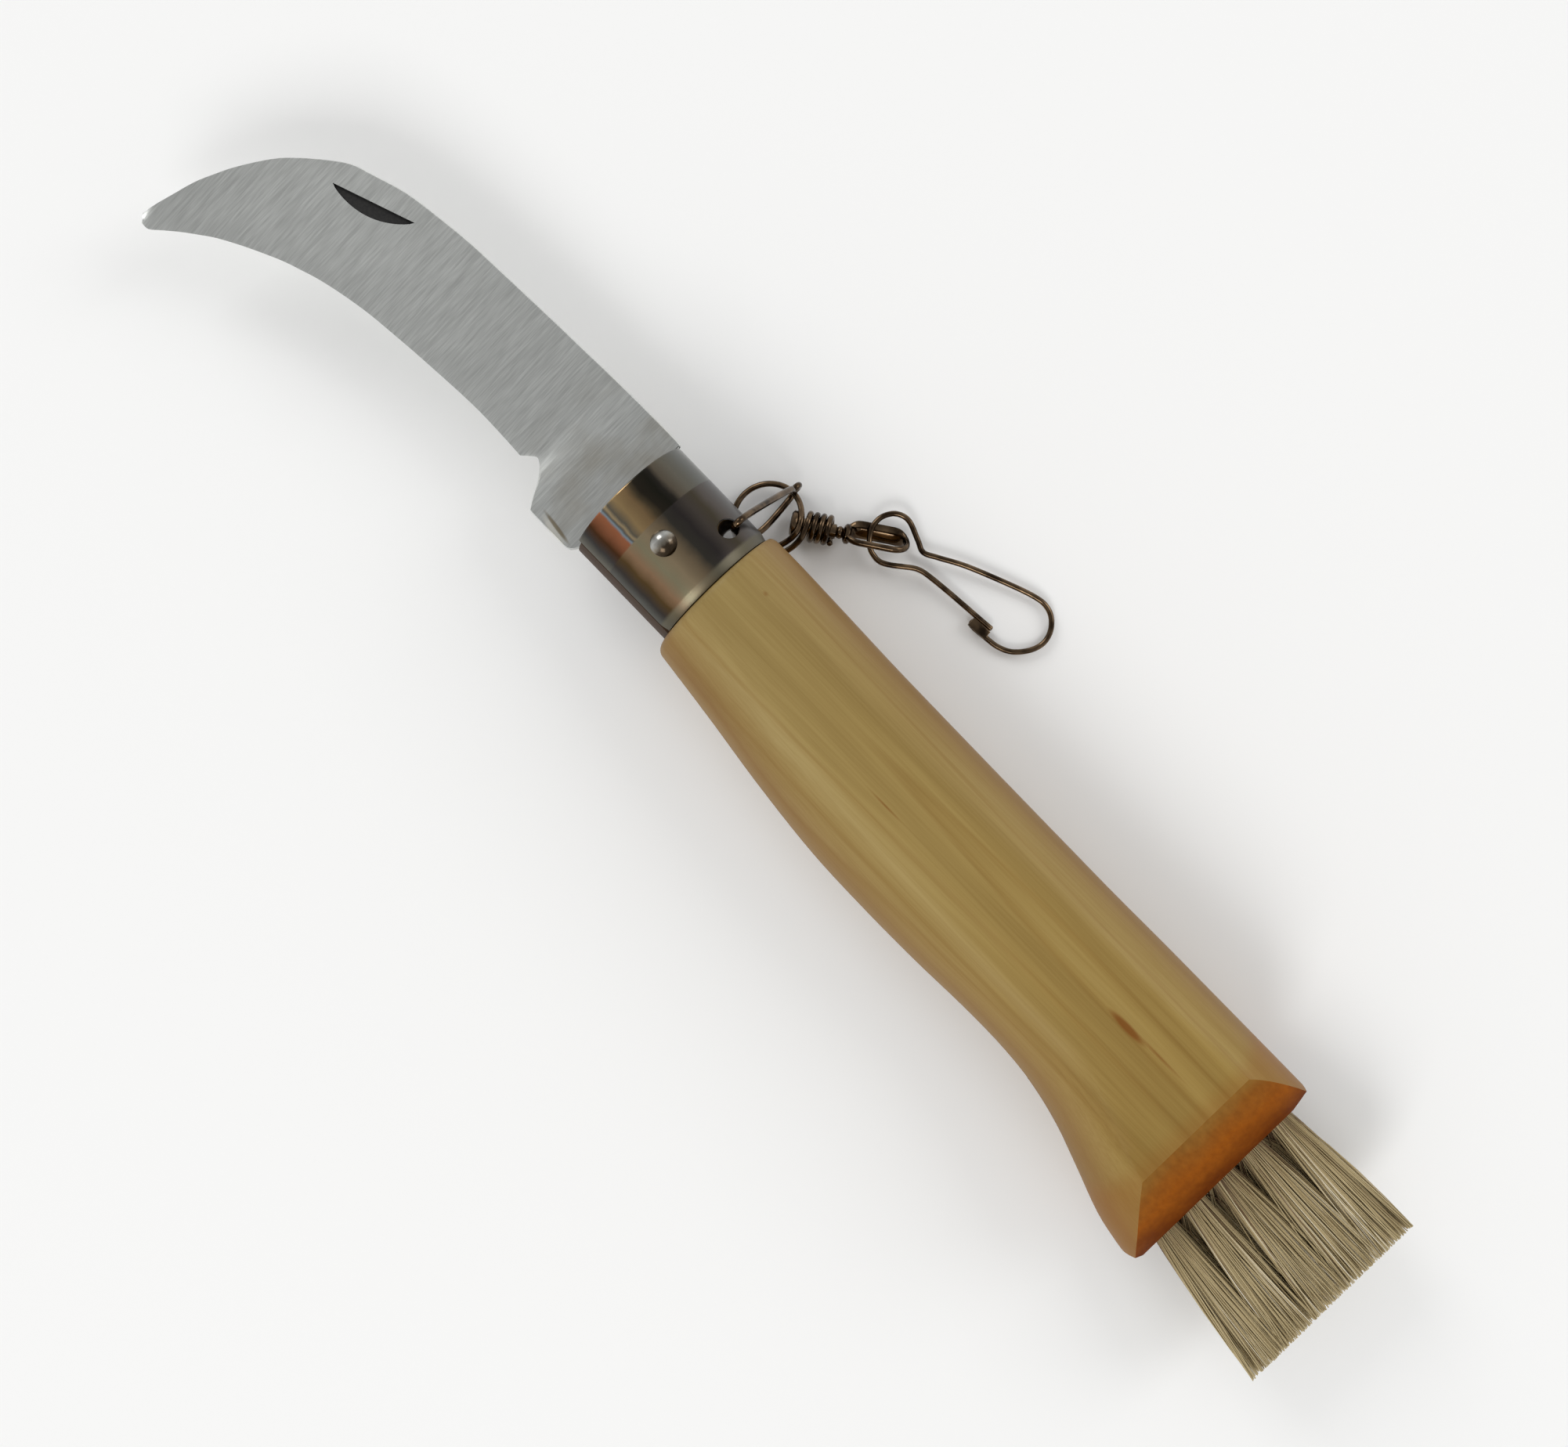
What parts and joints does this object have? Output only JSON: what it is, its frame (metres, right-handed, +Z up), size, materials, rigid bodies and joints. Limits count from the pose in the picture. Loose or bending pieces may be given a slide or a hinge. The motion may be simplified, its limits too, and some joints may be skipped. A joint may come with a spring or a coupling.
{
  "type": "folding mushroom knife",
  "caption": "Folding knife with a hooked blade, a wooden handle with a bristle brush in its butt, and a wire clip on a swivel at its metal ferrule.",
  "frame": {"origin": "a point on the handle's flat underside, the face it lies on", "axes": "+X along the handle to the butt and its brush, +Y to the blade's spine side, +Z up, square to the blade's flat"},
  "size_m": [0.2269, 0.058, 0.0226],
  "materials": {
    "wood": "satin, pale and straight-grained, browned at the butt",
    "ferrule_steel": "polished sheet",
    "rivet_steel": "polished dome",
    "blade_steel": "satin, fine lines across",
    "link_wire": "nickel-plated wire",
    "ring_wire": "nickel-plated wire",
    "eye_metal": "nickel-plated",
    "snap_wire": "nickel-plated wire",
    "gate_wire": "nickel-plated wire",
    "bristle": "natural bristle, matte",
    "anchor_wire": "flat wire"
  },
  "bodies": {
    "handle_body": {"handle": "wood", "ferrule": "ferrule_steel", "pivot_rivet": "rivet_steel", "bristle_tuft_1": "bristle", "bristle_tuft_2": "bristle", "bristle_tuft_3": "bristle", "bristle_tuft_4": "bristle", "bristle_tuft_5": "bristle", "tuft_anchor_1": "anchor_wire", "tuft_anchor_2": "anchor_wire", "tuft_anchor_3": "anchor_wire", "tuft_anchor_4": "anchor_wire", "tuft_anchor_5": "anchor_wire"},
    "blade": {"blade": "blade_steel"},
    "link": {"hole_link": "link_wire"},
    "ring": {"swivel_ring": "ring_wire"},
    "eye": {"swivel_eye": "eye_metal"},
    "snap": {"snap_hook": "snap_wire"},
    "gate": {"snap_gate": "gate_wire"}
  },
  "joints": [
    {"name": "blade_fold", "type": "hinge", "parent": "handle_body", "child": "blade", "pos_m": [-0.05433, 0.00107, 0.0113], "axis": [0, 0, 1], "range_deg": [0, 168]},
    {"name": "link_swing", "type": "hinge", "parent": "handle_body", "child": "link", "pos_m": [-0.05003, 0.00897, 0.0113], "axis": [0, 0, 1], "range_deg": [-5, 40]},
    {"name": "ring_tilt", "type": "hinge", "parent": "link", "child": "ring", "pos_m": [-0.04932, 0.02057, 0.00199], "axis": [0.9952, 0.0976, 0], "range_deg": [-4, 45]},
    {"name": "swivel_spin", "type": "hinge", "parent": "ring", "child": "eye", "pos_m": [-0.0488, 0.01527, 0.0024], "axis": [0.8192, 0.5736, 0], "continuous": true},
    {"name": "snap_swing", "type": "hinge", "parent": "eye", "child": "snap", "pos_m": [-0.03716, 0.02501, 0.0019], "axis": [0.0436, 0, 0.999], "range_deg": [-12, 18]},
    {"name": "gate_flex", "type": "hinge", "parent": "snap", "child": "gate", "pos_m": [-0.03311, 0.02268, 0.00172], "axis": [0.0436, 0, 0.999], "range_deg": [0, 12], "stiffness_Nm_per_rad": 0.02, "springref_deg": -5.73}
  ]
}
